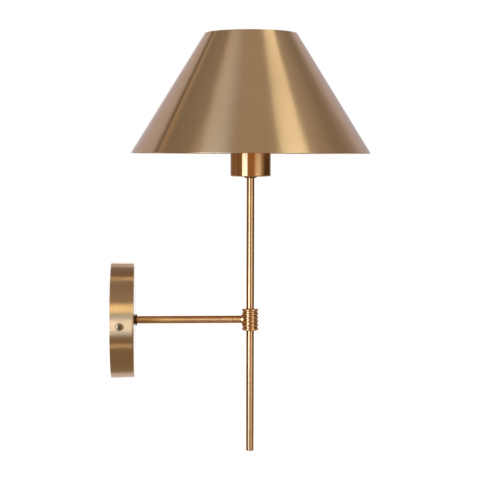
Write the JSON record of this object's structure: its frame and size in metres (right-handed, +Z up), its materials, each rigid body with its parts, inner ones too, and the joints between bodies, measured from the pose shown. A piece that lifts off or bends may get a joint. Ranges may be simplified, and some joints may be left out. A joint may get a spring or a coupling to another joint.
{
  "type": "wall sconce",
  "caption": "Wall light with a round backplate, a thin arm, a ribbed collar, a slim vertical rod and an open cone shade over a cupped screw lampholder.",
  "frame": {"origin": "centre of the bracket's rear face, in the wall's plane, on the arm's axis", "axes": "+X out of the wall along the arm, +Y to the back of the side view, +Z up along the rods"},
  "size_m": [0.2678, 0.2476, 0.4348],
  "materials": {
    "brushed_brass": "brushed on a lathe, satin lacquer",
    "polished_brass": "polished and lacquered",
    "bare_brass": "turned or pressed, bare",
    "zinc_steel": "zinc plated",
    "nickel_screws": "dull nickel plate",
    "spring_steel": "drawn wire",
    "black_phenolic": "moulded, semi-gloss",
    "white_ceramic": "pressed steatite, glazed",
    "white_nylon": "moulded, satin",
    "brown_lead": "extruded insulation",
    "blue_lead": "extruded insulation",
    "green_lead": "extruded insulation with a yellow stripe"
  },
  "bodies": {
    "frame": {"wall_bracket": "zinc_steel", "terminal_block": "white_nylon", "terminal_tubes": "bare_brass", "terminal_screws": "zinc_steel", "block_screw": "zinc_steel", "earth_screw": "bare_brass", "earth_washer": "zinc_steel", "earth_tag": "bare_brass", "earth_lead": "green_lead", "line_lead": "brown_lead", "neutral_lead": "blue_lead", "backplate": "brushed_brass", "side_screws": "nickel_screws", "arm_washer": "zinc_steel", "arm_lock_washer": "zinc_steel", "arm_nut": "zinc_steel", "arm_bush": "white_nylon", "arm_seat_ring": "polished_brass", "arm_tube": "polished_brass", "collar": "polished_brass", "upper_rod": "polished_brass", "lower_rod": "polished_brass", "rod_bush": "white_nylon", "cup_seat_ring": "polished_brass", "holder_cup": "polished_brass", "cup_lock_washer": "zinc_steel", "cup_nut": "zinc_steel", "holder_base": "black_phenolic", "holder_lock_screw": "zinc_steel", "holder_insert": "white_ceramic", "holder_terminals": "bare_brass", "holder_screws": "zinc_steel", "holder_shell": "bare_brass", "holder_skirt": "black_phenolic", "contact_plate": "bare_brass", "contact_spring": "spring_steel", "shade_ring": "black_phenolic"},
    "contact": {"contact_plunger": "bare_brass"},
    "shade": {"fitter_ring": "zinc_steel", "spider_arms": "zinc_steel", "shade_cone": "brushed_brass"}
  },
  "joints": [
    {"name": "shade_turn", "type": "hinge", "parent": "frame", "child": "shade", "pos_m": [0.144, 0, 0.1917], "axis": [0, 0, 1], "continuous": true},
    {"name": "contact_press", "type": "slide", "parent": "frame", "child": "contact", "axis": [0, 0, 1], "range_m": [-0.0018, 0], "stiffness_N_per_m": 4000, "deforming": ["contact_spring"]}
  ]
}
